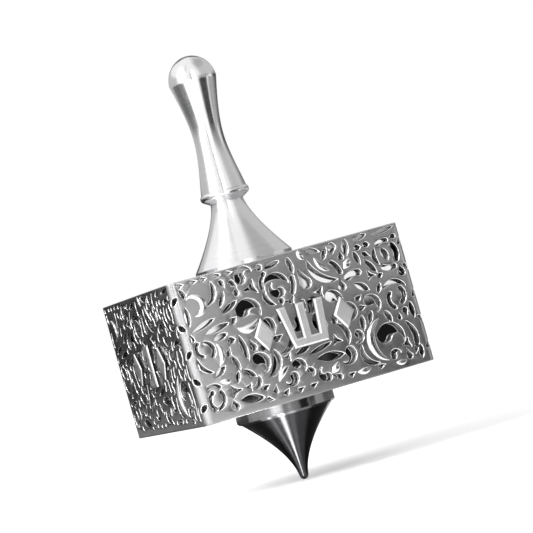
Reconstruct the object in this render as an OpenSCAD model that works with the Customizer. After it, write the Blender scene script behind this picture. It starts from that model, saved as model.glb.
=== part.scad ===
// Metal dreidel: a spinning top whose square body wears a pierced scrollwork sleeve.
// The tip of the point is the origin, the spin axis is +Z and the front side looks along -Y.

/* [Body] */
// Width of the square body over the sleeve
body_w = 60; // [48:1:80]
// Height of the square body
body_h = 34.3; // [26:0.1:48]
// Thickness of the top and bottom plates
plate_t = 2; // [1.6:0.1:3]
// Gap between the sleeve and the polished core behind it
core_gap = 0.8; // [0.4:0.1:1.6]
// Rounding of the core's upright edges
core_edge_r = 1; // [0.4:0.1:3]

/* [Pierced sleeve] */
// Thickness of the sleeve sheet
sheet_t = 1.2; // [0.8:0.1:1.5]
// Outer radius of the sleeve's four bends
bend_r = 1.8; // [1.7:0.1:3]

/* [Finger grip] */
// Height of the grip from the collar's underside to the top of the dome
grip_h = 36.5; // [30:0.5:48]
// Radius of the dome at its crisp edge
head_r = 6; // [5:0.1:8]
// Height of the dome above its edge
dome_h = 6.4; // [3:0.1:8]
// Radius of the waist that the fingers hold
waist_r = 3.8; // [3.7:0.1:4.6]
// Height of the waist above the collar's underside
waist_h = 16; // [12:0.5:19]
// Radius of the collar
collar_r = 6.2; // [5.6:0.1:8]
// Radius of the collar's rounded lip
lip_r = 1.15; // [0.8:0.05:1.4]

/* [Trumpet stem] */
// Height of the stem from the body to the collar
stem_h = 17.4; // [14:0.1:24]
// Radius of the stem's neck under the collar
neck_r = 4.1; // [3.7:0.1:4.9]
// Radius of the stem's foot on the body
foot_r = 12.3; // [9:0.1:16]
// Height of the upright rim of the foot
foot_rim_h = 1.3; // [0.6:0.1:2]

/* [Point] */
// Height of the point from its tip to the flange
point_h = 16.9; // [14:0.1:26]
// Radius of the point where it meets the flange
point_r = 11.6; // [9:0.1:12]
// Radius of the rounded nose that the top spins on
nose_r = 1.1; // [0.6:0.1:1.5]
// Radius of the flange under the body
flange_r = 12.5; // [12.1:0.1:18]
// Height of the flange
flange_h = 3.3; // [2.4:0.1:6]

/* [Tie rod and spigots] */
// Radius of the threaded tie rod
rod_r = 2.5; // [1.5:0.1:2.8]
// Length of rod inside the stem
rod_in_stem = 11.5; // [6:0.5:13]
// Length of rod inside the point
rod_in_point = 7; // [4:0.5:8]
// Radius of the spigots that centre the stem and the flange in the plates
plate_spigot_r = 5; // [4:0.1:8]
// Height of those spigots
plate_spigot_h = 1.5; // [0.8:0.1:1.5]
// Radius of the stem's spigot in the grip
grip_spigot_r = 2.6; // [2:0.1:2.8]
// Height of the stem's spigot in the grip
grip_spigot_h = 9; // [6:0.5:11]

/* [Fits] */
// Clearance round each spigot and round the rod's threads
slip_gap = 0.05; // [0.02:0.01:0.1]
// Clearance round the plates inside the sleeve
plate_gap = 0.1; // [0.05:0.05:0.3]
// Clearance of the rod through the core
bore_gap = 0.25; // [0.1:0.05:0.6]
// Depth left free past the end of each spigot and of the rod
end_gap = 0.3; // [0.2:0.1:0.6]

/* [Hidden] */
$fn = 96;

// Levels on the spin axis, from the tip upwards
flange_z = point_h;
body_z = flange_z + flange_h;
core_z = body_z + plate_t;
body_top = body_z + body_h;
grip_z = body_top + stem_h;
rod_z = point_h - rod_in_point;
rod_top = body_top + rod_in_stem;

// Widths that follow from the sleeve
sleeve_in_w = body_w - 2 * sheet_t;
bend_in_r = bend_r - sheet_t;
core_w = sleeve_in_w - 2 * core_gap;
core_h = body_h - 2 * plate_t;
plate_w = sleeve_in_w - 2 * plate_gap;

// How far a cutter runs past the surface it cuts
overrun = 0.2;
// Small turned chamfers on hidden edges
edge_cut = 0.4;
// Bevel round the flange's lower rim
flange_cut = 0.5;
// Steps along each turned curve
curve_steps = 12;

// A cubic curve between two points, pulled by two others
function pull(a, b, c, d, t) =
    pow(1 - t, 3) * a + 3 * pow(1 - t, 2) * t * b + 3 * (1 - t) * t * t * c + t * t * t * d;
function curve(a, b, c, d) = [for (i = [0 : curve_steps]) pull(a, b, c, d, i / curve_steps)];
// An arc about a centre, from one angle to another
function arc(centre, r, from, to) =
    [for (i = [0 : curve_steps]) let (a = from + (to - from) * i / curve_steps)
        centre + r * [cos(a), sin(a)]];

// The grip: dome, waist and rounded collar, bored from below for the stem's spigot
head_z = grip_h - dome_h;
lip_start = 50;
lip_centre = [collar_r - lip_r, lip_r];
waist_pull_share = 0.3;
head_pull_share = [0.82, 0.68];
collar_pull_share = [0.8, 0.42];
grip_outline = concat(
    [for (i = [0 : curve_steps]) let (a = 90 * i / curve_steps) [head_r * sin(a), head_z + dome_h * cos(a)]],
    curve([head_r, head_z],
        [head_r * head_pull_share[0], waist_h + (head_z - waist_h) * head_pull_share[1]],
        [waist_r, waist_h + (head_z - waist_h) * waist_pull_share],
        [waist_r, waist_h]),
    curve([waist_r, waist_h],
        [waist_r, waist_h * (1 - waist_pull_share)],
        [collar_r * collar_pull_share[0], waist_h * collar_pull_share[1]],
        lip_centre + lip_r * [cos(lip_start), sin(lip_start)]),
    arc(lip_centre, lip_r, lip_start, -90),
    [[0, 0]]);

module finger_grip() {
    color("silver")
    translate([0, 0, grip_z])
    difference() {
        rotate_extrude() polygon(grip_outline);
        translate([0, 0, -overrun])
            cylinder(h = grip_spigot_h + end_gap + overrun, r = grip_spigot_r + slip_gap);
    }
}

// The stem: an upright rim, a trumpet flare and a neck, with a spigot at each end
flare_pull_share = 0.22;
flare_end_share = [0.62, 0.385];
flare_h = stem_h - foot_rim_h;
stem_outline = concat(
    [[0, stem_h], [neck_r, stem_h]],
    curve([neck_r, stem_h],
        [neck_r, foot_rim_h + flare_h * (1 - flare_pull_share)],
        [foot_r * flare_end_share[0], foot_rim_h + flare_h * flare_end_share[1]],
        [foot_r, foot_rim_h]),
    [[foot_r, 0], [0, 0]]);

module trumpet_stem() {
    color("gainsboro")
    translate([0, 0, body_top])
    difference() {
        union() {
            rotate_extrude() polygon(stem_outline);
            translate([0, 0, stem_h]) cylinder(h = grip_spigot_h, r = grip_spigot_r);
            translate([0, 0, -plate_spigot_h]) cylinder(h = plate_spigot_h, r = plate_spigot_r);
        }
        translate([0, 0, -plate_spigot_h - overrun])
            cylinder(h = plate_spigot_h + rod_in_stem + end_gap + overrun, r = rod_r + slip_gap);
    }
}

// A square with round corners
module rounded_square(w, r) {
    square([w, w - 2 * r], center = true);
    square([w - 2 * r, w], center = true);
    for (x = [-1, 1], y = [-1, 1]) translate([x * (w / 2 - r), y * (w / 2 - r)]) circle(r);
}

// A plate that closes the body and holds the sleeve off the core
module plate() {
    linear_extrude(plate_t) difference() {
        rounded_square(plate_w, bend_in_r);
        circle(plate_spigot_r + slip_gap);
    }
}

module top_plate() {
    color("darkgray") translate([0, 0, body_top - plate_t]) plate();
}

module bottom_plate() {
    color("darkgray") translate([0, 0, body_z]) plate();
}

// The polished block behind the sleeve
module core_block() {
    color("whitesmoke")
    translate([0, 0, core_z])
    linear_extrude(core_h) difference() {
        rounded_square(core_w, core_edge_r);
        circle(rod_r + bore_gap);
    }
}

// The flange between the body and the point
module base_flange() {
    color("dimgray")
    translate([0, 0, flange_z])
    difference() {
        union() {
            translate([0, 0, flange_cut]) cylinder(h = flange_h - flange_cut, r = flange_r);
            cylinder(h = flange_cut, r1 = flange_r - flange_cut, r2 = flange_r);
            translate([0, 0, flange_h]) cylinder(h = plate_spigot_h, r = plate_spigot_r);
        }
        translate([0, 0, -overrun])
            cylinder(h = flange_h + plate_spigot_h + 2 * overrun, r = rod_r + bore_gap);
    }
}

// The point: a hollow-sided cone that runs down to a round nose
point_pull_share = [0.59, 0.73];
nose_pull_share = [0.17, 0.36];
point_outline = concat(
    [[0, point_h]],
    curve([point_r, point_h],
        [point_r * point_pull_share[0], point_h * point_pull_share[1]],
        [point_r * nose_pull_share[0], nose_r + (point_h - nose_r) * nose_pull_share[1]],
        [nose_r, nose_r]),
    arc([0, nose_r], nose_r, 0, -90));

module spin_point() {
    color("gray")
    difference() {
        rotate_extrude() polygon(point_outline);
        translate([0, 0, rod_z - end_gap])
            cylinder(h = rod_in_point + end_gap + overrun, r = rod_r + slip_gap);
    }
}

// The rod that draws the stem, the body, the flange and the point together
module tie_rod() {
    color("slategray")
    translate([0, 0, rod_z]) {
        cylinder(h = edge_cut, r1 = rod_r - edge_cut, r2 = rod_r);
        translate([0, 0, edge_cut]) cylinder(h = rod_top - rod_z - 2 * edge_cut, r = rod_r);
        translate([0, 0, rod_top - rod_z - edge_cut])
            cylinder(h = edge_cut, r1 = rod_r, r2 = rod_r - edge_cut);
    }
}

// Scrollwork. Places and sizes are cells of a grid laid over one side, x from its left edge
// and y from its foot, and turns are degrees.
cells_across = 60;
cells_up = 34;
cell_w = body_w / cells_across;
cell = body_h / cells_up;

// A pointed leaf along X, made where two circles overlap
module leaf(length, width) {
    r = (length * length + width * width) / (4 * width);
    intersection() {
        translate([0, r - width / 2]) circle(r);
        translate([0, width / 2 - r]) circle(r);
    }
}

// A crescent that bulges towards +X, between two arcs that share their ends
module crescent(chord, bulge, thick) {
    outer_r = (chord * chord / 4 + bulge * bulge) / (2 * bulge);
    hollow = bulge - thick;
    inner_r = (chord * chord / 4 + hollow * hollow) / (2 * hollow);
    translate([thick / 2 - bulge, 0]) difference() {
        translate([bulge - outer_r, 0]) circle(outer_r);
        translate([hollow - inner_r, 0]) circle(inner_r);
    }
}

// A curved drop: half a disc, hollowed on one side of its middle and swelled on the other.
// The hollow stops short of the rim and the swelling passes it, so no two arcs only touch.
hollow_share = 0.46;
hollow_place_share = 0.48;
swell_share = 0.53;
swell_place_share = 0.49;
module comma(r) {
    difference() {
        circle(r);
        translate([-r - overrun, 0]) square([2 * (r + overrun), r + overrun]);
        translate([-r * hollow_place_share, 0]) circle(r * hollow_share);
    }
    translate([r * swell_place_share, 0]) circle(r * swell_share);
}

// A straight drop along X with its tip towards +X, whose flanks leave just inside the round end
flank_share = 0.94;
module drop(length, width) {
    r = width / 2;
    tip = length - r;
    slope = acos(r / tip);
    flank = r * flank_share;
    circle(r);
    polygon([flank * [cos(slope), sin(slope)], [tip, 0], flank * [cos(slope), -sin(slope)]]);
}

// A slot that follows an arc, bulging towards +X, with round ends a little wider than the slot
bean_end_share = 1.06;
module bean(r, width, sweep) {
    far = 2 * r;
    translate([-r, 0]) {
        intersection() {
            difference() {
                circle(r + width / 2);
                circle(r - width / 2);
            }
            polygon([[0, 0], far * [cos(sweep / 2), -sin(sweep / 2)], [far, 0],
                far * [cos(sweep / 2), sin(sweep / 2)]]);
        }
        for (s = [-1, 1]) rotate(s * sweep / 2) translate([r, 0]) circle(width / 2 * bean_end_share);
    }
}

// A three-cornered gap with hollow sides
spandrel_side_share = 1.5;
module spandrel(r) {
    side_r = r * spandrel_side_share;
    reach = side_r + r / 3;
    difference() {
        polygon([for (a = [90, 210, 330]) r * [cos(a), sin(a)]]);
        for (a = [30, 150, 270]) translate(reach * [cos(a), sin(a)]) circle(side_r);
    }
}

// Rows: x, y, length, width over length, turn
leaf_shares = [
    [11.9, 27.3, 3.8, 0.28, 60], [13.3, 25.1, 4.8, 0.24, 28], [5.9, 22.6, 6.4, 0.17, 17],
    [9, 21.1, 6.4, 0.2, 10], [9.2, 19, 3.6, 0.36, 12], [2.7, 25.4, 4.4, 0.26, 88],
    [3, 30.8, 2.8, 0.4, 112], [12, 33, 2.4, 0.36, 0], [14, 15.2, 6.4, 0.22, 98],
    [11.2, 12.3, 3.8, 0.34, 108], [13.8, 9.1, 3.4, 0.34, -40], [12.8, 3.2, 5.8, 0.34, -8],
    [30.6, 30.8, 4.2, 0.32, 98], [36.9, 32.7, 3.6, 0.32, -20], [45.3, 31.4, 4.2, 0.36, 82],
    [49.6, 32.8, 3.4, 0.34, 14], [55.7, 32.9, 5.6, 0.16, 8], [50.3, 25.5, 4.4, 0.28, 122],
    [46.7, 21.4, 4, 0.4, -36], [50.8, 20, 2.6, 0.36, 66], [44.4, 13.1, 3.8, 0.34, 84],
    [46.7, 13.9, 3.2, 0.34, 66], [51.2, 13, 3.2, 0.4, 112], [32.4, 10.1, 6.4, 0.16, 14],
    [34.4, 7.6, 7, 0.3, -4], [57.5, 13, 4.2, 0.28, 92], [57, 2.9, 3.4, 0.32, 84],
    [6.9, 11.2, 3.6, 0.36, 34], [25, 20, 3.4, 0.34, 66], [47.4, 28.3, 3.6, 0.3, 104],
    [39.7, 31.3, 3.2, 0.34, 62], [10.7, 8.9, 2.8, 0.36, 70], [26.2, 32, 4.2, 0.26, 12],
    [54.6, 27.4, 3.2, 0.5, 104],
];
// Rows: x, y, length between the ends, bulge and thickness over that length, turn of the bulge
crescent_shares = [
    [10.3, 29, 5.8, 0.3, 0.19, -22], [2.9, 12.9, 5, 0.32, 0.22, 218], [26.4, 29.3, 6, 0.42, 0.24, 80],
    [36.9, 26.4, 8.8, 0.32, 0.21, 226], [42.8, 4.6, 6, 0.42, 0.22, 212], [21, 9.3, 6.6, 0.38, 0.3, -24],
    [15.4, 6.2, 3.2, 0.44, 0.36, -34], [51.8, 27.3, 4.2, 0.3, 0.24, 184], [54.8, 20.6, 6, 0.34, 0.18, 84],
    [56.6, 6.8, 8.4, 0.26, 0.16, 2], [29.4, 11.9, 6.8, 0.36, 0.2, -38], [25.4, 12.6, 5, 0.34, 0.24, -42],
    [22.7, 24.3, 4.2, 0.4, 0.27, 204], [39.9, 12.2, 5.6, 0.32, 0.22, 16],
];
// Rows: x, y, radius, turn
comma_shares = [
    [18.8, 31.2, 2.3, 200], [17.5, 22.9, 3.1, 152], [26, 26.2, 2, -60], [16.9, 10.6, 2.5, 100],
    [38.6, 6.8, 2.2, 40], [32, 4, 1.8, -70], [47.9, 16.8, 2.3, 110], [50.4, 8, 3.5, 150],
    [26, 7.4, 1.8, 130], [28.4, 5.4, 1.1, 100], [42.2, 10.3, 1.6, 60], [20.4, 18.2, 2.6, 40],
    [38.6, 20, 2.5, 100], [33.8, 20, 2.1, 200], [41.6, 16.6, 2.2, 70], [23.4, 5.2, 1.8, 20],
    [34.6, 16.2, 2.3, 250], [28.3, 17.4, 2.1, 20], [50.4, 3.6, 1.4, 190],
];
// Rows: x, y, length, width over length, turn of the tip
drop_shares = [
    [2.6, 32.9, 1.7, 0.6, 4], [6, 33, 1.8, 0.5, 0], [8.6, 33, 1.6, 0.6, 0],
    [12.8, 31.1, 2.1, 0.6, -62], [14.9, 32.9, 1.8, 0.5, 0], [15.3, 30.4, 2.2, 0.6, -40],
    [22.9, 32.2, 2.3, 0.62, 190],
    [15.8, 27.9, 1.9, 0.7, 70], [13.1, 21.8, 2, 0.7, 30], [11.5, 17.6, 1.8, 0.8, 0],
    [10, 14.7, 2.1, 0.56, 62], [16.4, 14.6, 2.8, 0.58, 102], [26.2, 23.3, 1.7, 0.7, 262],
    [8.2, 2.5, 2.6, 0.74, 92], [33.3, 25.8, 5.6, 0.48, 108], [41.9, 32.3, 2.8, 0.7, 262],
    [41.9, 22.6, 2.8, 0.62, 92], [51.8, 22.8, 1.6, 0.7, 20], [48.2, 30.6, 1.6, 0.8, 0],
    [50.5, 30.7, 1.6, 0.8, 0], [49.6, 28.6, 2.2, 0.5, -34], [57.6, 22.2, 2.6, 0.66, 92],
    [57.9, 31, 1.6, 0.7, 200], [44.8, 18.9, 1.9, 0.6, 30], [45, 16.6, 2, 0.6, 4],
    [55.7, 13.3, 2.3, 0.6, -80], [53.9, 11.9, 1.9, 0.5, 84], [16.5, 4.8, 1.8, 0.6, 20],
    [18.8, 3.3, 2.1, 0.5, 72], [16.6, 2, 1.8, 0.5, -20], [21.2, 2.2, 1.8, 0.6, 45],
    [24.6, 2, 2, 0.5, 20], [28, 2.1, 2, 0.5, 20], [35.2, 2.4, 2.6, 0.5, 150], [38, 2, 2, 0.5, 20],
    [45.7, 2, 2, 0.5, 12], [53.8, 2.5, 2.8, 0.5, 102], [2.4, 20, 1.7, 0.6, 92],
    [22.4, 15, 2.6, 0.56, 20], [18.8, 13.9, 2, 0.6, 60], [43.6, 29.4, 2, 0.6, 84],
    [37.6, 15.4, 2.2, 0.6, 84],
];
// Rows: x, y, radius, width over radius, sweep, turn of the bulge
bean_shares = [
    [6.7, 17.3, 1.9, 0.44, 130, 20], [2.7, 17.1, 1.9, 0.34, 116, 190], [22.6, 29, 3.6, 0.26, 56, 160],
    [30.2, 26.2, 4.2, 0.24, 46, -12], [45.2, 25, 3.4, 0.4, 52, 100], [57.6, 27.3, 3, 0.4, 70, 2],
    [54.6, 30.6, 3, 0.3, 46, 98], [54.8, 23.9, 3, 0.4, 50, 264], [56.6, 16.9, 2.2, 0.44, 96, -8],
    [52.5, 16.2, 2.4, 0.36, 96, 186], [2.5, 5.2, 2.3, 0.38, 112, 176], [6, 4.6, 2.3, 0.34, 110, -20],
    [41.9, 27.6, 3.6, 0.28, 50, 30], [31, 20.4, 3.4, 0.26, 46, -20], [4.4, 8.6, 2.6, 0.24, 66, 80],
];
// Rows: x, y, size, turn
spandrel_shares = [
    [19.8, 28.2, 2, 100], [28.5, 22.6, 1.5, -40], [49.6, 23.4, 1.3, 20], [9.2, 6, 1.7, 30],
    [24, 10.2, 1.1, 80], [36.8, 10.9, 1.5, 10],
    [36, 22.9, 1.5, 80], [12.8, 6, 1, 200], [54, 5.6, 1.4, 100],
];

module at(place) {
    translate([(place[0] - cells_across / 2) * cell_w, place[1] * cell]) children();
}

module side_openings() {
    for (p = leaf_shares) at(p) rotate(p[4]) leaf(p[2] * cell, p[2] * p[3] * cell);
    for (p = crescent_shares) at(p) rotate(p[5])
        crescent(p[2] * cell, p[2] * p[3] * cell, p[2] * p[4] * cell);
    for (p = comma_shares) at(p) rotate(p[3]) comma(p[2] * cell);
    for (p = drop_shares) at(p) rotate(p[4]) drop(p[2] * cell, p[2] * p[3] * cell);
    for (p = bean_shares) at(p) rotate(p[5]) bean(p[2] * cell, p[2] * p[3] * cell, p[4]);
    for (p = spandrel_shares) at(p) rotate(p[3]) spandrel(p[2] * cell);
}

// Leaf openings that wrap round each bend, cut square to the bend's own diagonal
corner_leaf_share = 2.6;
corner_slim_share = 0.5;
// Rows: height, turn
corner_shares = [[4, 35], [10.4, -40], [16.8, 40], [23.2, -35], [29.6, 40]];
corner_leaf = corner_leaf_share * cell;
corner_cut = corner_leaf / 2 + sheet_t * sqrt(2);
corner_out = (body_w / 2 - bend_r) * sqrt(2) + bend_r;
module corner_openings() {
    for (p = corner_shares) translate([0, p[0] * cell]) rotate(p[1])
        leaf(corner_leaf, corner_leaf * corner_slim_share);
}

module blank_sleeve() {
    translate([0, 0, body_z]) linear_extrude(body_h) difference() {
        rounded_square(body_w, bend_r);
        rounded_square(sleeve_in_w, bend_in_r);
    }
}

// The sleeve with a number of its sides pierced, each with the bend at its left
module pierce(sides) {
    if (sides == 0) blank_sleeve();
    else difference() {
        pierce(sides - 1);
        rotate(90 * sides) translate([0, overrun - sleeve_in_w / 2, body_z]) rotate([90, 0, 0])
            linear_extrude(sheet_t + 2 * overrun) side_openings();
        rotate(90 * sides - 45) translate([0, corner_cut - corner_out, body_z]) rotate([90, 0, 0])
            linear_extrude(corner_cut + overrun) corner_openings();
    }
}

module pierced_sleeve() {
    color("lightgray") pierce(4);
}

finger_grip();
trumpet_stem();
top_plate();
core_block();
pierced_sleeve();
bottom_plate();
base_flange();
spin_point();
tie_rod();
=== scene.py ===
# Metal dreidel in a pierced scrollwork sleeve, standing on a white table.
import math

import bmesh
import bpy
from mathutils import Matrix, Vector
from mathutils.geometry import delaunay_2d_cdt


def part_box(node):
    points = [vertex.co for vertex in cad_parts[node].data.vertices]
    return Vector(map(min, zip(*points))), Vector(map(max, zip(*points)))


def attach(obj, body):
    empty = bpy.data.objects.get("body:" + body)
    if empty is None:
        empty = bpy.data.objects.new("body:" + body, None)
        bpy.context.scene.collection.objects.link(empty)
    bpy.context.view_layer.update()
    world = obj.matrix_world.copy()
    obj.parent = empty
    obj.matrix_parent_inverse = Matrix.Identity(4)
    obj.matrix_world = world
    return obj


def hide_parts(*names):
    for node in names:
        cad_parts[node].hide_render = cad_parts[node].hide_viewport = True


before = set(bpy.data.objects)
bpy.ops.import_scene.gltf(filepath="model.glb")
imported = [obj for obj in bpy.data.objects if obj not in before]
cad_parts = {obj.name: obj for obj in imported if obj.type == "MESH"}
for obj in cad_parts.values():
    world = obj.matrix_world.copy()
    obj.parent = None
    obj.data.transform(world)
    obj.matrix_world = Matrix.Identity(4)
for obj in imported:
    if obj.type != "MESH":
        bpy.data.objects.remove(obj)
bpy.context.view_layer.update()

mm = 0.001
gripLow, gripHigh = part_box("finger_grip")
stemLow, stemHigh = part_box("trumpet_stem")
sleeveLow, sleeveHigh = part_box("pierced_sleeve")
flangeLow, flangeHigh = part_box("base_flange")
pointLow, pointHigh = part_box("spin_point")
bodyHalf = sleeveHigh.x
bodyFoot, bodyTop = sleeveLow.z, sleeveHigh.z
bodyTall = bodyTop - bodyFoot


def link(piece):
    bpy.context.scene.collection.objects.link(piece)
    return piece


def onBody(piece, slotName, *replaced):
    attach(piece, "root")
    if replaced:
        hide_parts(*replaced)
    return piece


def direction(azimuth, elevation):
    a, e = math.radians(azimuth), math.radians(elevation)
    return Vector((math.sin(a) * math.cos(e), -math.cos(a) * math.cos(e), math.sin(e)))


# Camera: on the photograph's side, tilted with it, aimed so that the axis falls where it does there

camera = {
    "azimuth": -18.75,
    "elevation": -0.54,
    "roll": -15.79,
    "fieldOfView": 11,
    "distance": 683 * mm,
    "aimHeight": 46.15 * mm,
    "aimPixel": (254.3, 298.8),
    "framePixels": 533,
    "nearest": 10 * mm,
    "farthest": 20,
}


def makeCamera(s):
    back = direction(s["azimuth"], s["elevation"])
    a, roll = math.radians(s["azimuth"]), math.radians(s["roll"])
    level = Vector((math.cos(a), math.sin(a), 0))
    upright = back.cross(level)
    right = level * math.cos(roll) + upright * math.sin(roll)
    up = upright * math.cos(roll) - level * math.sin(roll)
    aim = Vector((0, 0, s["aimHeight"]))
    place = aim + back * s["distance"]
    reach = s["framePixels"] / 2 / math.tan(math.radians(s["fieldOfView"]) / 2)
    across = (s["aimPixel"][0] - s["framePixels"] / 2) / reach
    down = (s["aimPixel"][1] - s["framePixels"] / 2) / reach
    back = (back + right * across - up * down).normalized()
    right = (right - back * right.dot(back)).normalized()
    up = back.cross(right)
    data = bpy.data.cameras.new("camera")
    data.angle = math.radians(s["fieldOfView"])
    data.clip_start, data.clip_end = s["nearest"], s["farthest"]
    viewer = link(bpy.data.objects.new("camera", data))
    turn = Matrix((right, up, back)).transposed()
    viewer.matrix_world = Matrix.Translation(place) @ turn.to_4x4()
    bpy.context.scene.camera = viewer


makeCamera(camera)
print("camera placed")


# Every node tree is built with these two: a socket given as an input is linked, and a value is set

def feed(tree, node, inputs):
    for name, value in inputs.items():
        if isinstance(value, bpy.types.NodeSocket):
            tree.links.new(value, node.inputs[name])
        else:
            node.inputs[name].default_value = value


def nodeAdder(tree):
    def add(kind, inputs=None, **settings):
        node = tree.nodes.new(kind)
        for name, value in settings.items():
            setattr(node, name, value)
        feed(tree, node, inputs or {})
        return node
    return add


# Studio: a white tent and table, cards for the metal to mirror, one soft key lamp

studio = {
    "tentLevel": 0.9,
    "shownLevel": 1,
    "tableColour": (0.96, 0.96, 0.96, 1),
    "tableReach": 3.0,
    "tableGlow": 0.2,
    "keyAt": (-72, 34, 0.9),
    "keySize": 0.5,
    "keyPower": 7,
    "keyHeight": 50 * mm,
    "cardSteps": 16,
    "cardOffTable": 0.5 * mm,
}
# Cards that only the metal's reflections see. "round" cards stand on a circle: azimuth from and to,
# height from and to, distance. "flat" cards lie on the table: azimuth from and to, near, far. "above"
# cards hang over it and have a height too. "near" cards stand square to the front side: x from and to,
# height from and to, y. Then follow each card's grey and how soft its edges are, across and along.
cards = {
    "besideLeftFace": ("round", (-192, -108, -60, 95, 112), 0.01, (0.1, 0.13)),
    "underLeftFace": ("flat", (-225, -94, 31, 410), 0.015, (0.12, 0.02)),
    "farLeft": ("round", (-186, -92, 20, 330, 420), 0.58, (0.12, 0.2)),
    "edgeStrip": ("round", (-84, -60, -40, 420, 430), 2.6, (0.3, 0.08)),
    "greyLine": ("round", (-25, -17, -40, 420, 424), 0.3, (0.4, 0.08)),
    "streakStrip": ("round", (-14, -3, -40, 420, 430), 6, (0.4, 0.08)),
    "frontGrey": ("round", (6, 74, 66, 190, 400), 0.34, (0.2, 0.12)),
    "flangeLight": ("round", (-60, -20, 13, 25.2, 396), 14, (0.45, 0.02)),
    "flangeLeft": ("round", (-205, -50, -20, 25.2, 397), 1.3, (0.06, 0.02)),
    "flangeFarLeft": ("round", (-204, -112, 15.5, 21.2, 108), 0.6, (0.05, 0.02)),
    "flangeRight": ("round", (-30, 50, -20, 25.2, 397), 0.32, (0.2, 0.02)),
    "flangeFarRight": ("round", (76, 172, -20, 25.2, 397), 0.25, (0.1, 0.02)),
    "upperRight": ("round", (16, 150, 120, 520, 403), 0.6, (0.15, 0.12)),
    "behind": ("round", (130, 196, 30, 620, 425), 0.12, (0.3, 0.2)),
    "farRight": ("round", (84, 150, -40, 190, 400), 0.06, (0.25, 0.25)),
    "leftOfGrip": ("round", (-192, -60, 56, 92, 110), 0.1, (0.08, 0.15)),
    "rightOfGrip": ("round", (8, 58, 56, 92, 110), 0.03, (0.15, 0.15)),
    "leftUnderGrip": ("flat", (-192, -60, 60, 330), 0.08, (0.08, 0.15)),
    "rightUnderGrip": ("flat", (8, 58, 60, 330), 0.05, (0.15, 0.15)),
    "farRightOfGrip": ("round", (56, 160, 56, 92, 109), 0.36, (0.08, 0.15)),
    "farRightUnderGrip": ("flat", (56, 160, 60, 330), 0.36, (0.08, 0.15)),
    "aboveRight": ("above", (10, 150, 40, 520, 460), 0.46, (0.25, 0.3)),
    "aboveLeft": ("above", (-60, -36, 40, 520, 460), 0.75, (0.4, 0.3)),
    "underPoint": ("flat", (-46, -24, 1, 32), 34, (0.5, 0.1)),
    "rightUnderPoint": ("flat", (40, 172, 1, 44), 0.1, (0.15, 0.1)),
    "leftUnderPoint": ("flat", (-215, -84, 1, 90), 0.1, (0.1, 0.1)),
    "underPointLeft": ("flat", (-76, -62, 1, 32), 6, (0.5, 0.1)),
    "underPointRight": ("flat", (-22, 14, 1, 32), 2.6, (0.5, 0.1)),
    "darkInCore": ("near", (3, 32, 18, 58, -105), 0.01, (0.1, 0.1)),
    "darkLowRight": ("near", (24, 74, 8, 42, -106), 0.01, (0.2, 0.15)),
    "darkRightEnd": ("near", (38, 86, 12, 38, -60), 0.03, (0.25, 0.25)),
}


def cardMaterial(name, grey, soft):
    material = bpy.data.materials.new(name)
    material.use_nodes = True
    material.node_tree.nodes.clear()
    add = nodeAdder(material.node_tree)
    across = add("ShaderNodeUVMap", uv_map="across")
    split = add("ShaderNodeSeparateXYZ", {0: across.outputs["UV"]})
    fades = []
    for axis, reach in zip(("X", "Y"), soft):
        inward = add("ShaderNodeMath", {0: split.outputs[axis], 1: 0.5}, operation="PINGPONG")
        fade = add("ShaderNodeMapRange", {"Value": inward.outputs[0], "From Max": reach},
                   interpolation_type="SMOOTHSTEP")
        fades.append(fade.outputs[0])
    both = add("ShaderNodeMath", dict(enumerate(fades)), operation="MULTIPLY")
    clear = add("ShaderNodeBsdfTransparent")
    glow = add("ShaderNodeEmission", {"Color": (grey, grey, grey, 1)})
    mix = add("ShaderNodeMixShader", {0: both.outputs[0], 1: clear.outputs[0], 2: glow.outputs[0]})
    add("ShaderNodeOutputMaterial", {"Surface": mix.outputs[0]})
    return material


def cardSpot(kind, sizes, u, v):
    a, b, c, d = sizes[:4]
    across, along = a + (b - a) * u, c + (d - c) * v
    if kind == "flat":
        return direction(across, 0) * along * mm + Vector((0, 0, studio["cardOffTable"]))
    if kind == "above":
        return (direction(across, 0) * along + Vector((0, 0, sizes[4]))) * mm
    if kind == "near":
        return Vector((across, sizes[4], along)) * mm
    return (direction(across, 0) * sizes[4] + Vector((0, 0, along))) * mm


def makeCard(name, kind, sizes, grey, soft):
    steps = studio["cardSteps"]
    row = steps + 1
    shares = [(i / steps, j / steps) for j in range(row) for i in range(row)]
    corners = [j * row + i for j in range(steps) for i in range(steps)]
    mesh = bpy.data.meshes.new(name)
    mesh.from_pydata([cardSpot(kind, sizes, u, v) for u, v in shares], [],
                     [(k, k + 1, k + row + 1, k + row) for k in corners])
    uv = mesh.uv_layers.new(name="across")
    for loop in mesh.loops:
        uv.data[loop.index].uv = shares[loop.vertex_index]
    mesh.materials.append(cardMaterial(name, grey, soft))
    card = link(bpy.data.objects.new(name, mesh))
    for ray in ("camera", "diffuse", "shadow", "volume_scatter"):
        setattr(card, "visible_" + ray, False)


def makeTent(s):
    world = bpy.data.worlds.new("tent")
    world.use_nodes = True
    world.node_tree.nodes.clear()
    add = nodeAdder(world.node_tree)
    rays = add("ShaderNodeLightPath").outputs
    seen = rays["Is Camera Ray"]
    for other in ("Is Glossy Ray", "Is Transmission Ray"):
        seen = add("ShaderNodeMath", {0: seen, 1: rays[other]}, operation="MAXIMUM").outputs[0]
    tent = add("ShaderNodeBackground", {"Color": (1, 1, 1, 1), "Strength": s["tentLevel"]})
    shown = add("ShaderNodeBackground", {"Color": (1, 1, 1, 1), "Strength": s["shownLevel"]})
    mix = add("ShaderNodeMixShader", {0: seen, 1: tent.outputs[0], 2: shown.outputs[0]})
    add("ShaderNodeOutputWorld", {"Surface": mix.outputs[0]})
    bpy.context.scene.world = world


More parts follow.
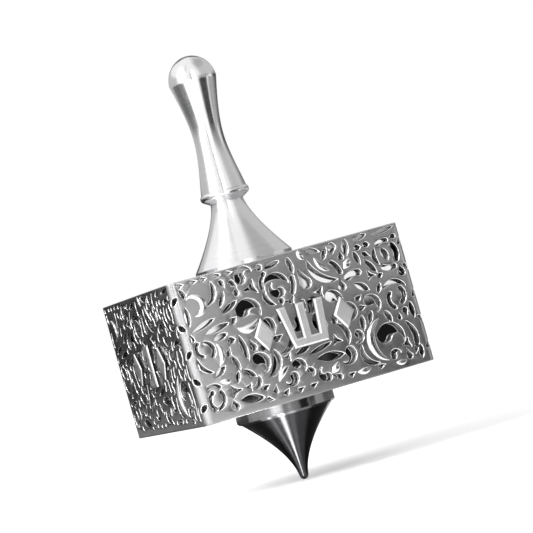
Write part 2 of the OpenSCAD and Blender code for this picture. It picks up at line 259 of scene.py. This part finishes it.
def makeTable(s):
    r = s["tableReach"]
    mesh = bpy.data.meshes.new("table")
    mesh.from_pydata([(-r, -r, 0), (r, -r, 0), (r, r, 0), (-r, r, 0)], [], [(0, 1, 2, 3)])
    white = bpy.data.materials.new("table white")
    white.use_nodes = True
    feed(white.node_tree, white.node_tree.nodes["Principled BSDF"], {
        "Base Color": s["tableColour"], "Roughness": 1, "Specular IOR Level": 0,
        "Emission Color": (1, 1, 1, 1), "Emission Strength": s["tableGlow"]})
    mesh.materials.append(white)
    link(bpy.data.objects.new("table", mesh))


def makeKey(s):
    azimuth, elevation, away = s["keyAt"]
    lamp = bpy.data.lights.new("key", "AREA")
    lamp.shape = "DISK"
    lamp.size = s["keySize"]
    lamp.energy = s["keyPower"]
    key = link(bpy.data.objects.new("key", lamp))
    toward = direction(azimuth, elevation)
    key.location = Vector((0, 0, s["keyHeight"])) + toward * away
    key.rotation_euler = toward.to_track_quat("Z", "Y").to_euler()
    key.visible_camera = False


makeTent(studio)
makeTable(studio)
makeKey(studio)
for name, row in cards.items():
    makeCard(name, *row)
bpy.context.scene.view_settings.view_transform = "Standard"
print("studio lit")


# Finishes: a fine grain and a wide cloud vary each metal's colour, roughness and relief

surface = {
    "fineDetail": 4,
    "cloudScale": 160,
    "cloudDetail": 3,
    "noiseRange": (0.3, 0.7),
    "fineShares": (0.8, 1.15),
    "cloudShares": (-0.1, 0.15),
    "reliefDepth": 0.02 * mm,
    # where the attribute cut turns a face into a rim, which gets a painted highlight, and a rim into an
    # opening's wall, which gets painted shade
    "cutRanges": ((0.2, 0.4), (0.6, 0.9)),
}


def ranged(add, value, source, target):
    return add("ShaderNodeMapRange", {"Value": value, "From Min": source[0], "From Max": source[1],
                                      "To Min": target[0], "To Max": target[1]}).outputs[0]


def noise(add, spot, scale, detail):
    return add("ShaderNodeTexNoise", {"Vector": spot, "Scale": scale, "Detail": detail}).outputs["Fac"]


def ringsAt(add, spot):              # a place that depends on radius and height alone, for turning marks
    split = add("ShaderNodeSeparateXYZ", {0: spot}).outputs
    level = add("ShaderNodeCombineXYZ", {"X": split["X"], "Y": split["Y"]})
    radius = add("ShaderNodeVectorMath", {0: level.outputs[0]}, operation="LENGTH")
    return add("ShaderNodeCombineXYZ", {"X": radius.outputs["Value"], "Z": split["Z"]}).outputs[0]


# painted light: rims take a lighter colour, a painted highlight, and openings' walls a darker one, painted
# shade; each also takes its own roughness
def paintRimHighlightWallShade(add, base, rough, edges):
    cut = add("ShaderNodeAttribute", attribute_name="cut").outputs["Fac"]
    for (colour, roughness), reach in zip(edges, surface["cutRanges"]):
        share = ranged(add, cut, reach, (0, 1))
        base = add("ShaderNodeMix", {"Factor": share, "A": base, "B": colour + (1,)},
                   data_type="RGBA").outputs["Result"]
        rough = add("ShaderNodeMix", {"Factor": share, "A": rough, "B": roughness}).outputs[0]
    return base, rough


def metal(name, colour, roughness, grain, streaks, bump, turned=False, anisotropy=0, edges=()):
    s = surface
    material = bpy.data.materials.new(name)
    material.use_nodes = True
    tree = material.node_tree
    add = nodeAdder(tree)
    spot = add("ShaderNodeTexCoord").outputs["Object"]
    stretched = add("ShaderNodeMapping", {"Vector": spot, "Scale": grain}).outputs[0]
    fine = noise(add, ringsAt(add, stretched) if turned else stretched, 1, s["fineDetail"])
    cloud = noise(add, spot, s["cloudScale"], s["cloudDetail"])
    darker = tuple(c * (1 - streaks) for c in colour) + (1,)
    lighter = tuple(min(1, c * (1 + streaks)) for c in colour) + (1,)
    base = add("ShaderNodeMix", {"Factor": ranged(add, fine, s["noiseRange"], (0, 1)),
                                 "A": darker, "B": lighter}, data_type="RGBA").outputs["Result"]
    parts = [ranged(add, value, s["noiseRange"], [roughness * share for share in shares])
             for value, shares in ((fine, s["fineShares"]), (cloud, s["cloudShares"]))]
    rough = add("ShaderNodeMath", dict(enumerate(parts)), operation="ADD").outputs[0]
    if edges:
        base, rough = paintRimHighlightWallShade(add, base, rough, edges)
    relief = add("ShaderNodeBump", {"Strength": bump, "Distance": s["reliefDepth"], "Height": fine})
    shader = tree.nodes["Principled BSDF"]
    feed(tree, shader, {"Metallic": 1, "Anisotropic": anisotropy, "Base Color": base,
                        "Roughness": rough, "Normal": relief.outputs[0]})
    if anisotropy:
        tangent = add("ShaderNodeTangent", direction_type="UV_MAP", uv_map="UVMap")
        feed(tree, shader, {"Tangent": tangent.outputs[0]})
    return material


# edges gives colour and roughness, first of the openings' rims, lighter as a painted highlight, and then of
# their walls, darker as painted shade
finishes = {
    "turned_aluminium": dict(colour=(0.86, 0.86, 0.87), roughness=0.2, grain=(2400, 2400, 2400),
                             streaks=0.03, bump=0.06, turned=True, anisotropy=0.5),
    "dark_steel": dict(colour=(0.045, 0.045, 0.047), roughness=0.2, grain=(2400, 2400, 2400),
                       streaks=0.12, bump=0.08, turned=True, anisotropy=0.5),
    "flange_steel": dict(colour=(0.22, 0.22, 0.225), roughness=0.14, grain=(2400, 2400, 3000),
                         streaks=0.12, bump=0.1, turned=True, anisotropy=0.5),
    # lace_metal's rims are a painted highlight and its openings' walls and underside painted shade
    "lace_metal": dict(colour=(0.44, 0.44, 0.445), roughness=0.34, grain=(900, 900, 9000),
                       streaks=0.04, bump=0.06,
                       edges=(((0.88, 0.88, 0.88), 0.12), ((0.3, 0.3, 0.302), 0.4))),
    "polished_core": dict(colour=(0.9, 0.9, 0.9), roughness=0.05, grain=(2600, 2600, 60),
                          streaks=0.04, bump=0.03),
    "polished_relief": dict(colour=(0.84, 0.84, 0.845), roughness=0.22, grain=(1500, 1500, 1500),
                            streaks=0.04, bump=0.06),
    # satin_letter's bevels are a painted highlight and its sides painted shade, a dark outline round each
    # letter
    "satin_letter": dict(colour=(0.66, 0.66, 0.665), roughness=0.5, grain=(6000, 6000, 6000),
                         streaks=0.06, bump=0.2,
                         edges=(((0.84, 0.84, 0.84), 0.35), ((0.05, 0.05, 0.052), 0.4))),
    "plate_aluminium": dict(colour=(0.72, 0.72, 0.73), roughness=0.32, grain=(300, 6000, 6000),
                            streaks=0.05, bump=0.1),
    "rod_steel": dict(colour=(0.5, 0.5, 0.52), roughness=0.3, grain=(2400, 2400, 2400),
                      streaks=0.08, bump=0.1, turned=True),
}
metals = {name: metal(name, **s) for name, s in finishes.items()}
print("finishes made")


# Turned pieces, revolved from their outlines

turning = {
    "sides": 192,
    "curveSteps": 26,
    "edgeAngle": 0.45,
    "mergeWithin": 0.001 * mm,
}


def curve(a, b, c, d):
    a, b, c, d = Vector(a), Vector(b), Vector(c), Vector(d)
    points = []
    for i in range(turning["curveSteps"] + 1):
        t = i / turning["curveSteps"]
        points.append((1 - t) ** 3 * a + 3 * (1 - t) ** 2 * t * b + 3 * (1 - t) * t * t * c + t ** 3 * d)
    return points


def arc(centre, r, start, stop, tall=None):
    steps = turning["curveSteps"]
    points = []
    for i in range(steps + 1):
        a = math.radians(start + (stop - start) * i / steps)
        points.append(Vector(centre) + Vector((r * math.cos(a), (tall or r) * math.sin(a))))
    return points


def startTree(name, sockets, result):
    tree = bpy.data.node_groups.new(name, "GeometryNodeTree")
    for label, kind in sockets:
        tree.interface.new_socket(label, in_out="INPUT", socket_type="NodeSocket" + kind)
    tree.interface.new_socket(result, in_out="OUTPUT", socket_type="NodeSocketGeometry")
    add = nodeAdder(tree)
    return tree, add, add("NodeGroupInput").outputs


def endTree(add, shape, finish):
    painted = add("GeometryNodeSetMaterial", {"Geometry": shape, "Material": finish})
    real = add("GeometryNodeRealizeInstances", {0: painted.outputs[0]})
    add("NodeGroupOutput", {0: real.outputs[0]})


def makeLatheTree():
    tree, add, given = startTree("turned on the lathe", (
        ("Outline", "Geometry"), ("Sides", "Int"), ("Edge angle", "Float"), ("Merge within", "Float"),
        ("Finish", "Material")), "Piece")

    def sums(operation, *terms, kind="ShaderNodeMath"):
        return add(kind, dict(enumerate(terms)), operation=operation).outputs[0]

    whole = "FunctionNodeIntegerMath"
    count = add("GeometryNodeAttributeDomainSize", {0: given["Outline"]}).outputs["Point Count"]
    across = sums("ADD", given["Sides"], 1, kind=whole)
    grid = add("GeometryNodeMeshGrid", {"Vertices X": count, "Vertices Y": across}).outputs
    index = add("GeometryNodeInputIndex").outputs[0]
    ring = sums("DIVIDE_FLOOR", index, across, kind=whole)
    step = sums("MODULO", index, across, kind=whole)
    here = add("GeometryNodeInputPosition").outputs[0]
    sample = add("GeometryNodeSampleIndex", {"Geometry": given["Outline"], "Value": here, "Index": ring},
                 data_type="FLOAT_VECTOR")
    outline = add("ShaderNodeSeparateXYZ", {0: sample.outputs["Value"]}).outputs
    turn = sums("MULTIPLY", sums("DIVIDE", step, given["Sides"]), 2 * math.pi)
    spot = add("ShaderNodeCombineXYZ", {"X": sums("MULTIPLY", outline["X"], sums("COSINE", turn)),
                                        "Y": sums("MULTIPLY", outline["X"], sums("SINE", turn)),
                                        "Z": outline["Z"]})
    kept = add("GeometryNodeStoreNamedAttribute",
               {"Geometry": grid["Mesh"], "Name": "UVMap", "Value": grid["UV Map"]},
               data_type="FLOAT2", domain="CORNER")
    moved = add("GeometryNodeSetPosition", {"Geometry": kept.outputs[0], "Position": spot.outputs[0]})
    closed = add("GeometryNodeMergeByDistance",
                 {"Geometry": moved.outputs[0], "Distance": given["Merge within"]})
    faces = add("GeometryNodeSetShadeSmooth", {"Geometry": closed.outputs[0]}, domain="FACE")
    bend = add("GeometryNodeInputMeshEdgeAngle").outputs["Unsigned Angle"]
    soft = add("FunctionNodeCompare", {"A": bend, "B": given["Edge angle"]}, operation="LESS_THAN")
    edges = add("GeometryNodeSetShadeSmooth",
                {"Geometry": faces.outputs[0], "Shade Smooth": soft.outputs[0]}, domain="EDGE")
    endTree(add, edges.outputs[0], given["Finish"])
    return tree


def throughTree(name, source, tree, values):
    holder = link(bpy.data.objects.new(name + " source", source))
    run = holder.modifiers.new("make", "NODES")
    run.node_group = tree
    names = {i.name: i.identifier for i in tree.interface.items_tree if i.in_out == "INPUT"}
    for key, value in values.items():
        run[names[key]] = value
    graph = bpy.context.evaluated_depsgraph_get()
    mesh = bpy.data.meshes.new_from_object(holder.evaluated_get(graph), depsgraph=graph)
    mesh.name = name
    bpy.data.objects.remove(holder)
    return link(bpy.data.objects.new(name, mesh))


latheTree = makeLatheTree()


def turnedPiece(name, outline, finish, replaced):
    mesh = bpy.data.meshes.new(name + " outline")
    mesh.from_pydata([(p[0], 0, p[1]) for p in outline], [], [])
    piece = throughTree(name, mesh, latheTree, {
        "Sides": turning["sides"], "Edge angle": turning["edgeAngle"],
        "Merge within": turning["mergeWithin"], "Finish": metals[finish]})
    work = bmesh.new()
    work.from_mesh(piece.data)
    bmesh.ops.recalc_face_normals(work, faces=work.faces)
    work.to_mesh(piece.data)
    work.free()
    return onBody(piece, finish, replaced)


# A curve's pulls place its two handles, as shares of its radius and height
grip = {
    "domeTall": 6.4 * mm,
    "headRadius": 6 * mm,
    "waistRadius": 3.8 * mm,
    "waistShare": 16 / 36.5,
    "lipRadius": 1.15 * mm,
    "headPull": (0.82, 0.68),
    "collarPull": (0.8, 0.42),
    "waistPull": 0.3,
    "lipStart": 50,
    "lipEnd": -50,
    "coneTall": 0.7 * mm,
    "coneRadius": 4.25 * mm,
    "boreRadius": 2.65 * mm,
    "boreClearance": 0.3 * mm,
}


def makeGrip(s):
    low, top = gripLow.z, gripHigh.z
    tall = top - low
    head = top - s["domeTall"]
    waist = low + tall * s["waistShare"]
    collar = gripHigh.x
    lip = Vector((collar - s["lipRadius"], low + s["lipRadius"]))
    r, w = s["headRadius"], s["waistRadius"]
    start = math.radians(s["lipStart"])
    lipTop = lip + s["lipRadius"] * Vector((math.cos(start), math.sin(start)))
    bore = stemHigh.z + s["boreClearance"]
    outline = (arc((0, head), r, 90, 0, s["domeTall"])
               + curve((r, head), (r * s["headPull"][0], waist + (head - waist) * s["headPull"][1]),
                       (w, waist + (head - waist) * s["waistPull"]), (w, waist))[1:]
               + curve((w, waist), (w, waist - (waist - low) * s["waistPull"]),
                       (collar * s["collarPull"][0], low + (waist - low) * s["collarPull"][1]), lipTop)[1:]
               + arc(lip, s["lipRadius"], s["lipStart"], s["lipEnd"])[1:]
               + [(s["coneRadius"], low - s["coneTall"]), (stem["neckRadius"], low),
                  (s["boreRadius"], low), (s["boreRadius"], bore), (0, bore)])
    return turnedPiece("grip", outline, "turned_aluminium", "finger_grip")


stem = {
    "neckRadius": 4.1 * mm,
    "tall": 17.4 * mm,
    "rimTall": 1.3 * mm,
    "spigotRadius": 2.6 * mm,
    "plateSpigotRadius": 5 * mm,
    "flarePull": 0.22,
    "flareEnd": (0.62, 0.385),
}


def makeStem(s):
    low, neck, foot = bodyTop, s["neckRadius"], stemHigh.x
    top = low + s["tall"]
    flare = low + s["rimTall"]
    tall = top - flare
    under = stemLow.z
    outline = ([(0, stemHigh.z), (s["spigotRadius"], stemHigh.z), (s["spigotRadius"], top), (neck, top)]
               + curve((neck, top), (neck, flare + tall * (1 - s["flarePull"])),
                       (foot * s["flareEnd"][0], flare + tall * s["flareEnd"][1]), (foot, flare))[1:]
               + [(foot, low), (s["plateSpigotRadius"], low), (s["plateSpigotRadius"], under), (0, under)])
    return turnedPiece("stem", outline, "turned_aluminium", "trumpet_stem")


flange = {
    "bevel": 0.5 * mm,
    "spigotRadius": 5 * mm,
    "softEdge": 0.15 * mm,
}


def makeFlange(s):
    r, low, top, under = flangeHigh.x, flangeLow.z, bodyFoot, flangeHigh.z
    b, e = s["bevel"], s["softEdge"]
    outline = [(0, under), (s["spigotRadius"], under), (s["spigotRadius"], top), (r - e, top), (r, top - e),
               (r, low + b), (r - b, low), (0, low)]
    return turnedPiece("flange", outline, "flange_steel", "base_flange")


point = {
    "noseRadius": 1.1 * mm,
    "bodyPull": (0.59, 0.73),
    "nosePull": (0.17, 0.36),
}


def makePoint(s):
    r, top, nose = pointHigh.x, pointHigh.z, s["noseRadius"]
    outline = ([(0, top)]
               + curve((r, top), (r * s["bodyPull"][0], top * s["bodyPull"][1]),
                       (r * s["nosePull"][0], nose + (top - nose) * s["nosePull"][1]), (nose, nose))
               + arc((0, nose), nose, 0, -90)[1:])
    return turnedPiece("point", outline, "dark_steel", "spin_point")


for make, s in ((makeGrip, grip), (makeStem, stem), (makeFlange, flange), (makePoint, point)):
    print("turned:", make(s).name)


# The lace sleeve: the openings' outlines are read off the frame mesh, laid flat, cut from a sheet
# with rounded edges and bent round the body again

lace = {
    "bendRadius": 1.8 * mm,
    "thickness": 1.2 * mm,
    "edgeRound": 0.2 * mm,
    "edgeProfile": ((1, 0), (0.35, 0.25), (0, 1)),
    "margin": 12 * mm,
    "bendCuts": 6,
    "leastCorner": 0.6,
    "foldedBack": 0.5,
    "skinWithin": 0.004 * mm,
    "mergeWithin": 0.0005 * mm,
    "cutWithin": 0.00001 * mm,
    "fillWithin": 1e-9,
    "flatLevel": 0.99,
    "uprightLevel": 0.5,
    # the seam lies where the fewest openings cross it, on one side's middle stretch
    "seamSide": 2,
    "seamFromShare": 0.1,
    "seamReachShare": 0.8,
    "seamTries": 400,
    "seamClear": 0.2 * mm,
    "evenWeight": 90,
}
bendRadius = lace["bendRadius"]
inner = bodyHalf - bendRadius            # half of a side's flat stretch
straight = 2 * inner
sideRun = straight + bendRadius * math.pi / 2
wholeRun = 4 * sideRun


def quarterTurn(x, y, k):
    for _ in range(k % 4):
        x, y = -y, x
    return x, y


def layFlat(p):                      # gives the run along the sheet and how far out from its front
    for k in range(4):
        x, y = quarterTurn(p[0], p[1], 4 - k)
        if y < 0 and abs(x) <= inner + lace["mergeWithin"]:
            return k * sideRun + x + inner, -bodyHalf - y
        if x > inner and y < -inner:
            a = math.atan2(y + inner, x - inner)
            run = k * sideRun + straight + bendRadius * (a + math.pi / 2)
            return run, math.hypot(x - inner, y + inner) - bendRadius
    return 0, bodyHalf               # not on the sheet, so put far from its front


def bendRound(run, up, out):
    k, t = divmod(run % wholeRun, sideRun)
    if t <= straight:
        x, y = t - inner, -bodyHalf - out
    else:
        a = (t - straight) / bendRadius - math.pi / 2
        x, y = inner + (bendRadius + out) * math.cos(a), -inner + (bendRadius + out) * math.sin(a)
    x, y = quarterTurn(x, y, int(k))
    return x, y, up + bodyFoot


def readOutlines(s):
    work = bmesh.new()
    work.from_mesh(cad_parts["pierced_sleeve"].data)
    bmesh.ops.remove_doubles(work, verts=work.verts, dist=s["mergeWithin"])
    work.verts.index_update()
    work.faces.index_update()
    flat = {v.index: layFlat(v.co) for v in work.verts}
    skin = {}                        # the sleeve's outer faces, in order
    for face in work.faces:
        if all(abs(flat[v.index][1]) < s["skinWithin"] for v in face.verts):
            c = face.calc_center_median()
            outward = Vector((c.x, c.y, 0)).dot(face.normal) > 0
            if outward and abs(face.normal.z) < s["uprightLevel"]:
                skin[face.index] = face
    follow = {}                      # along each border of the skin, the corner that comes next
    for number, face in skin.items():
        for loop in face.loops:
            if not any(f.index in skin for f in loop.edge.link_faces if f.index != number):
                follow[loop.vert.index] = loop.link_loop_next.vert.index
    places = {v.index: (flat[v.index][0], v.co.z - bodyFoot) for v in work.verts}
    work.free()
    outlines = []                    # a border shorter than a side goes round an opening
    while follow:
        start, here = follow.popitem()
        chain = [start]
        while here != start and here in follow:
            chain.append(here)
            here = follow.pop(here)
        points = [places[chain[0]]]
        for i in chain[1:]:
            run, up = places[i]
            run += wholeRun * round((points[-1][0] - run) / wholeRun)
            points.append((run, up))
        if max(p[0] for p in points) - min(p[0] for p in points) < sideRun:
            outlines.append(points)
    return outlines


def movedAside(points, by):          # each corner along the mean of its two sides' normals
    ring = []
    for i, here in enumerate(points):
        here, last, ahead = Vector(here), Vector(points[i - 1]), Vector(points[(i + 1) % len(points)])
        one, two = (here - last).normalized(), (ahead - here).normalized()
        mean = (one + two).normalized() if (one + two).length > lace["foldedBack"] else one
        ring.append(here + Vector((-mean.y, mean.x)) * by / max(lace["leastCorner"], mean.dot(one)))
    return ring


def metalOf(sides, faces, drawn, outerCorner):     # from the outer edge in, each outline turns it over
    walls = {frozenset(side) for side, names in zip(sides, drawn) if names}
    beside = {}
    for number, face in enumerate(faces):
        for a, b in zip(face, face[1:] + face[:1]):
            beside.setdefault(frozenset((a, b)), []).append(number)
    first = next(n for n, face in enumerate(faces) if outerCorner in face)
    inMetal, waiting = {first: True}, [first]
    while waiting:
        here = waiting.pop()
        face = faces[here]
        for a, b in zip(face, face[1:] + face[:1]):
            edge = frozenset((a, b))
            for there in beside[edge]:
                if there not in inMetal:
                    inMetal[there] = inMetal[here] != (edge in walls)
                    waiting.append(there)
    return [faces[n] for n, metal in inMetal.items() if metal]


def addWalls(work, points, levels):
    rows = []
    for inset, z in levels:
        rows.append([work.verts.new((p.x, p.y, z)) for p in movedAside(points, inset)])
    for above, below in zip(rows, rows[1:]):
        for i in range(len(points)):
            work.faces.new((above[i], above[i - 1], below[i - 1], below[i]))
    return rows


def fillBetween(work, rings, z, flip):
    insideOnly = 1                   # the kind of fill: triangles within the outermost ring
    verts = [v for ring in rings for v in ring]
    edges, first = [], 0
    for ring in rings:
        n = len(ring)
        edges += [(first + i, first + (i + 1) % n) for i in range(n)]
        first += n
    spots, sides, faces, origins, drawn, _ = delaunay_2d_cdt(
        [v.co.xy for v in verts], edges, [], insideOnly, lace["fillWithin"])
    used = [verts[o[0]] if o else work.verts.new((p.x, p.y, z)) for p, o in zip(spots, origins)]
    outerCorner = next(i for i, o in enumerate(origins) if 0 in o)
    for face in metalOf(sides, faces, drawn, outerCorner):
        corners = [used[i] for i in (reversed(face) if flip else face)]
        if len(set(corners)) == 3 and not work.faces.get(corners):
            work.faces.new(corners)


def addSheet(work, loops, s):        # the first loop is the sheet's edge and the others are its openings
    r, t = s["edgeRound"], s["thickness"]
    levels = [(inset * r, t - depth * r) for inset, depth in s["edgeProfile"]] + [(0, 0)]
    walls = [addWalls(work, points, levels) for points in loops]
    for level, flip in ((0, False), (-1, True)):
        fillBetween(work, [rows[level] for rows in walls], levels[level][1], flip)


def findSeam(spans, s):
    clear, tries = s["seamClear"], s["seamTries"]

    def crossed(at):
        return sum(low - clear < at + k * wholeRun < high + clear for low, high in spans for k in (-1, 0, 1))

    start = s["seamSide"] * sideRun + s["seamFromShare"] * straight
    reach = s["seamReachShare"] * straight
    seam = min((start + reach * i / tries for i in range(tries + 1)), key=crossed)
    print("lace:", len(spans), "openings, seam crosses", crossed(seam))
    return seam


def sheetLoops(outlines, spans, seam, margin):     # an opening across the seam is drawn at both ends
    start, stop = seam - margin, seam + wholeRun + margin
    loops = [[(start, 0), (stop, 0), (stop, bodyTall), (start, bodyTall)]]
    for points, (low, high) in zip(outlines, spans):
        shift = wholeRun * math.ceil((seam - (low + high) / 2) / wholeRun)
        moves = [shift]
        if low + shift < seam:
            moves.append(shift + wholeRun)
        if high + shift > seam + wholeRun:
            moves.append(shift - wholeRun)
        for move in moves:
            loops.append([(run + move, up) for run, up in points])
    return loops


def cutToLength(work, seam, s):      # and across, where the sheet bends
    cuts = [(seam, "inner"), (seam + wholeRun, "outer")]
    for k in range(8):               # the seam lies part way round, so the run reaches into a second round
        for j in range(s["bendCuts"] + 1):
            at = k * sideRun + straight + (sideRun - straight) * j / s["bendCuts"]
            if seam < at < seam + wholeRun:
                cuts.append((at, None))
    for at, side in cuts:
        bmesh.ops.bisect_plane(work, geom=work.verts[:] + work.edges[:] + work.faces[:],
                               dist=s["cutWithin"], plane_co=(at, 0, 0), plane_no=(1, 0, 0),
                               clear_inner=side == "inner", clear_outer=side == "outer")


def markCuts(work, s):               # 0 on the front, 0.5 on its rims, 1 in the openings and underneath; the finish paints a highlight on the rims and shade in the openings and underneath
    work.normal_update()
    cut = work.faces.layers.float.new("cut")
    for face in work.faces:
        level = abs(face.normal.z) > s["flatLevel"]
        middle = face.calc_center_median()
        front = middle.z > s["thickness"] - s["edgeRound"]
        lowest = not level and middle.y < s["edgeRound"]
        face[cut] = 1.0 if lowest or not front else 0.0 if level else 0.5


def makeLace(s):
    outlines = readOutlines(s)
    spans = [(min(p[0] for p in o), max(p[0] for p in o)) for o in outlines]
    seam = findSeam(spans, s)
    work = bmesh.new()
    addSheet(work, sheetLoops(outlines, spans, seam, s["margin"]), s)
    cutToLength(work, seam, s)
    markCuts(work, s)
    for v in work.verts:
        v.co = bendRound(v.co.x, v.co.y, v.co.z - s["thickness"])
    bmesh.ops.remove_doubles(work, verts=work.verts, dist=s["mergeWithin"])
    for face in work.faces:
        face.smooth = True
    mesh = bpy.data.meshes.new("lace")
    work.to_mesh(mesh)
    work.free()
    mesh.materials.append(metals["lace_metal"])
    piece = link(bpy.data.objects.new("lace", mesh))
    even = piece.modifiers.new("even faces", "WEIGHTED_NORMAL")
    even.weight = s["evenWeight"]
    print("lace:", len(mesh.polygons), "faces")
    onBody(piece, "lace_metal", "pierced_sleeve")


makeLace(lace)


# Raised pieces on the sleeve: a game letter on each side between two lozenges, and polished petals

letters = {
    "tall": 10.4,
    "foot": 11.6 * mm,
    "proud": 0.9 * mm,
    "sunk": 0.2 * mm,
    "bevel": 0.5 * mm,
    "edgeProfile": ((1, 0), (0.2, 0.35), (0, 0.8)),
    "wallLevel": 0.1,
    "lozengeHalf": (2.7, 4.1),
    "lozengeAway": 10.3,
    # one list of outlines for each side, in millimetres, in the order front, right, back, left
    "shapes": (
        (12, [[(2.1, 0), (11, 0), (11.9, 10.4), (9.7, 10.4), (9, 2.3), (7, 2.3), (7.1, 10.4), (4.9, 10.4),
               (4.8, 2.3), (3.3, 2.3), (2.3, 10.4), (0, 10.4)]]),
        (8.6, [[(8.6, 0), (8.6, 10.4), (0, 10.4), (0, 8.1), (6.3, 8.1), (6.3, 0)],
               [(0, 0), (2.3, 0), (2.3, 6.2), (0, 6.2)]]),
        (7.2, [[(0.4, 0), (3, 0), (3.9, 1.9), (4.4, 0), (6.8, 0), (5.4, 4.6), (5.4, 10.4), (2, 10.4),
                (2, 8.1), (3.1, 8.1), (3.1, 4.6), (2, 2.3), (0.4, 2.3)]]),
        (6.2, [[(0.6, 0), (5.6, 0), (5.6, 10.4), (1.8, 10.4), (1.8, 8.1), (3.3, 8.1), (3.3, 2.3),
                (0.6, 2.3)]]),
    ),
}


def onSide(mesh, side, base):
    for v in mesh.vertices:
        v.co = bendRound(side * sideRun + v.co.x + inner, v.co.y, base + v.co.z)


def makeLetters(s):
    wide, tall = s["lozengeHalf"]
    middle = s["tall"] / 2
    for side, (width, shapes) in enumerate(s["shapes"]):
        loops = [[((x - width / 2) * mm, y * mm + s["foot"]) for x, y in shape] for shape in shapes]
        for away in (-s["lozengeAway"], s["lozengeAway"]):
            loops.append([((away + x) * mm, (middle + y) * mm + s["foot"])
                          for x, y in ((-wide, 0), (0, -tall), (wide, 0), (0, tall))])
        work = bmesh.new()
        for loop in loops:
            addSheet(work, [loop], {"edgeRound": s["bevel"], "thickness": s["proud"] + s["sunk"],
                                    "edgeProfile": s["edgeProfile"]})
        bmesh.ops.recalc_face_normals(work, faces=work.faces)
        work.normal_update()
        # the cut mark picks the letters' painted highlight on the bevels and painted shade on their sides
        cut = work.faces.layers.float.new("cut")
        for face in work.faces:
            level = face.normal.z
            face[cut] = 0.0 if level > lace["flatLevel"] else 0.5 if level > s["wallLevel"] else 1.0
        mesh = bpy.data.meshes.new("letter")
        work.to_mesh(mesh)
        work.free()
        onSide(mesh, side, -s["sunk"])
        mesh.materials.append(metals["satin_letter"])
        onBody(link(bpy.data.objects.new("letter", mesh)), "lace_metal")


makeLetters(letters)
print("letters made")


petals = {
    "sides": 14,
    "steps": 24,
    "proud": 0.5,
    "fullness": 0.75,
    "tipShare": 0.04,
    # centre, radius, angles from and to, half width, all in millimetres and degrees on one side
    "arcs": (
        ((4.85, 27.7), 2.4, 120, -95, 0.9),
        ((4.6, 15.6), 3.9, 38, -50, 0.75),
        ((16.2, 22.8), 3.6, 228, 330, 1.15),
        ((50.9, 8.0), 5.6, 112, 245, 1.2),
        ((36.4, 33.6), 2.9, 172, 228, 0.8),
        ((42.2, 32.2), 5.3, 190, 246, 0.8),
        ((41.2, 8.0), 5.9, 256, 293, 0.85),
        ((32.6, 7.2), 3.4, 285, 340, 0.9),
        ((41.5, 30.6), 4.2, 298, 340, 0.95),
        ((26.5, 1.8), 7.15, 112, 151, 0.8),
        ((7.9, 12.1), 3.3, 238, 292, 0.8),
        ((51.4, 5.6), 4.0, 248, 290, 0.7),
    ),
}


def makePetalTree():
    tree, add, given = startTree("tapered petals", (
        ("Paths", "Geometry"), ("Sides", "Int"), ("Proud share", "Float"), ("Finish", "Material")), "Petals")
    path = add("GeometryNodeMeshToCurve", {"Mesh": given["Paths"]})
    width = add("GeometryNodeInputNamedAttribute", {"Name": "halfWidth"})
    ring = add("GeometryNodeCurvePrimitiveCircle", {"Radius": 1, "Resolution": given["Sides"]})
    sweep = add("GeometryNodeCurveToMesh", {"Curve": path.outputs[0], "Profile Curve": ring.outputs[0],
                                            "Scale": width.outputs[0]})
    here = add("GeometryNodeInputPosition")
    lower = add("ShaderNodeCombineXYZ", {"X": 1, "Y": 1, "Z": given["Proud share"]})
    pressed = add("ShaderNodeVectorMath", {0: here.outputs[0], 1: lower.outputs[0]}, operation="MULTIPLY")
    moved = add("GeometryNodeSetPosition", {"Geometry": sweep.outputs[0], "Position": pressed.outputs[0]})
    smooth = add("GeometryNodeSetShadeSmooth", {"Geometry": moved.outputs[0]})
    endTree(add, smooth.outputs[0], given["Finish"])
    return tree


def makePetals(s):
    tree = makePetalTree()
    points, widths, edges = [], [], []
    for (x, y), r, start, stop, half in s["arcs"]:
        for i in range(s["steps"] + 1):
            t = i / s["steps"]
            a = math.radians(start + (stop - start) * t)
            if i:
                edges.append((len(points) - 1, len(points)))
            points.append(((x + r * math.cos(a)) * mm - bodyHalf, (y + r * math.sin(a)) * mm, 0))
            widths.append(half * mm * max(s["tipShare"], math.sin(math.pi * t)) ** s["fullness"])
    for side in range(4):
        paths = bpy.data.meshes.new("petal paths")
        paths.from_pydata(points, edges, [])
        paths.attributes.new("halfWidth", "FLOAT", "POINT").data.foreach_set("value", widths)
        piece = throughTree("petals", paths, tree, {
            "Sides": s["sides"], "Proud share": s["proud"], "Finish": metals["polished_relief"]})
        onSide(piece.data, side, 0)
        onBody(piece, "lace_metal")


makePetals(petals)
print("petals made")


# Frame pieces that keep their own shape and take a finish

keptShapes = {
    "top_plate": "plate_aluminium",
    "bottom_plate": "plate_aluminium",
    "core_block": "polished_core",
    "tie_rod": "rod_steel",
}
for name, finish in keptShapes.items():
    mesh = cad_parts[name].data
    mesh.materials.clear()
    mesh.materials.append(metals[finish])
print("frame pieces finished")
